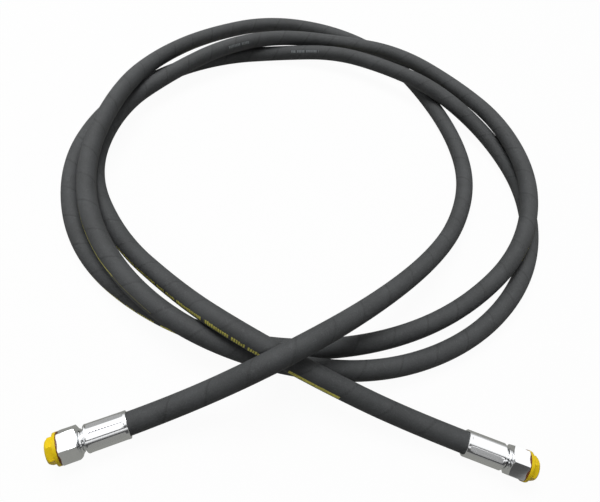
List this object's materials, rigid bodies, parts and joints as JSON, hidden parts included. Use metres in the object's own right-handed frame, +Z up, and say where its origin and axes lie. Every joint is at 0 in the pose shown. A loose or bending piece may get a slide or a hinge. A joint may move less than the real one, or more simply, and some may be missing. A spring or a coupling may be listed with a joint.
{
  "type": "hydraulic hose assembly",
  "caption": "Wire-braided hydraulic hose lying in loose overlapping turns, with a crimped swivel nut fitting and a yellow thread plug at each end.",
  "frame": {"origin": "on the floor under the middle of the whole assembly as it lies coiled", "axes": "+X to the right as pictured, +Y away from the viewer across the coil, +Z up; both fittings are on the near side, at -Y"},
  "size_m": [0.6317, 0.7706, 0.0823],
  "materials": {
    "inner_rubber": "smooth black rubber",
    "insulation_rubber": "thin black rubber between the braids",
    "braid_wire": "braided brass-coated steel wire",
    "cover_rubber": "matt black rubber with the faint marks of a wrapping cloth",
    "zinc_plate": "bright zinc plating",
    "spring_wire": "plain spring wire",
    "seal_rubber": "black nitrile rubber",
    "seal_amber": "orange-brown flat seal",
    "plug_yellow": "bright yellow moulded polyethylene, slightly waxy"
  },
  "bodies": {
    "hose": {"inner_tube": "inner_rubber", "inner_wire_braid": "braid_wire", "insulation_layer": "insulation_rubber", "outer_wire_braid": "braid_wire", "hose_cover": "cover_rubber", "ferrule_a": "zinc_plate", "stem_a": "zinc_plate", "cone_o_ring_a": "seal_rubber", "nut_wire_a": "spring_wire", "ferrule_b": "zinc_plate", "stem_b": "zinc_plate", "cone_o_ring_b": "seal_rubber", "nut_wire_b": "spring_wire"},
    "nut_a": {"swivel_nut_a": "zinc_plate"},
    "seal_a": {"plug_seal_a": "seal_amber"},
    "plug_a": {"plug_a": "plug_yellow"},
    "nut_b": {"swivel_nut_b": "zinc_plate"},
    "seal_b": {"plug_seal_b": "seal_amber"},
    "plug_b": {"plug_b": "plug_yellow"}
  },
  "joints": [
    {"name": "nut_swivel_a", "type": "hinge", "parent": "hose", "child": "nut_a", "pos_m": [-0.1474, -0.3591, 0.01519], "axis": [-0.851, -0.5252, 0], "continuous": true},
    {"name": "plug_travel_a", "type": "slide", "parent": "nut_a", "child": "seal_a", "axis": [-0.851, -0.5252, 0], "range_m": [0, 0.00901]},
    {"name": "plug_turn_a", "type": "hinge", "parent": "seal_a", "child": "plug_a", "pos_m": [-0.16515, -0.37005, 0.01519], "axis": [-0.851, -0.5252, 0], "range_deg": [0, 2160]},
    {"name": "nut_swivel_b", "type": "hinge", "parent": "hose", "child": "nut_b", "pos_m": [0.24194, -0.30018, 0.01519], "axis": [0.9854, -0.1701, 0], "continuous": true},
    {"name": "plug_travel_b", "type": "slide", "parent": "nut_b", "child": "seal_b", "axis": [0.9854, -0.1701, 0], "range_m": [0, 0.00901]},
    {"name": "plug_turn_b", "type": "hinge", "parent": "seal_b", "child": "plug_b", "pos_m": [0.26249, -0.30373, 0.01519], "axis": [0.9854, -0.1701, 0], "range_deg": [0, 2160]}
  ],
  "couplings": [
    {"joint": "plug_travel_a", "follows": "plug_turn_a", "m_per_rad": 0.00023873},
    {"joint": "plug_travel_b", "follows": "plug_turn_b", "m_per_rad": 0.00023873}
  ]
}
